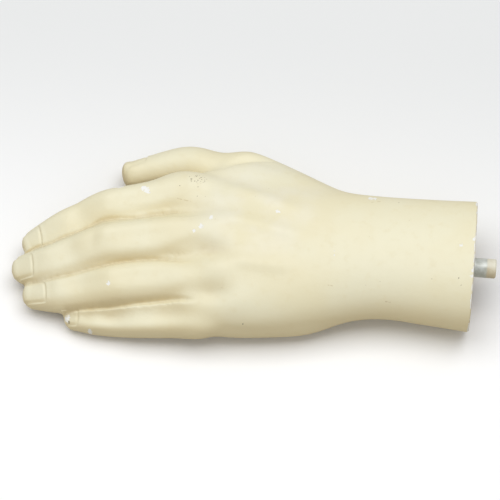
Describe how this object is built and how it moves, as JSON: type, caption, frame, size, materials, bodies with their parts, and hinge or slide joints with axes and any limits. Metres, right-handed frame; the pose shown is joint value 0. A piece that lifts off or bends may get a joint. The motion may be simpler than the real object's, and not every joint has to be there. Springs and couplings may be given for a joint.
{
  "type": "mannequin hand",
  "caption": "Carved wooden mannequin hand, left, palm down with the fingers together, painted cream, with a steel post that turns in the wrist and plugs into a display arm.",
  "frame": {"origin": "centre of the wrist end, where the post leaves the flush face of the bush", "axes": "+X out of the wrist along the post, +Y to the thumb side, +Z to the back of the hand"},
  "size_m": [0.2506, 0.1141, 0.0474],
  "materials": {
    "painted_wood": "worn satin cream paint over white ground, on close-grained wood",
    "bush_steel": "turned steel with remains of cream paint",
    "screw_steel": "plain steel screws, paint in the slots",
    "post_steel": "dull zinc-plated steel, paint left on the tip",
    "spring_steel": "blued spring steel"
  },
  "bodies": {
    "hand": {"hand_body": "painted_wood", "post_bush": "bush_steel", "bush_screws": "screw_steel"},
    "post": {"wrist_post": "post_steel", "spring_washer": "spring_steel", "retaining_clip": "spring_steel"}
  },
  "joints": [
    {"name": "post_swivel", "type": "hinge", "parent": "hand", "child": "post", "pos_m": [0, 0, 0], "axis": [1, 0, 0], "continuous": true}
  ]
}
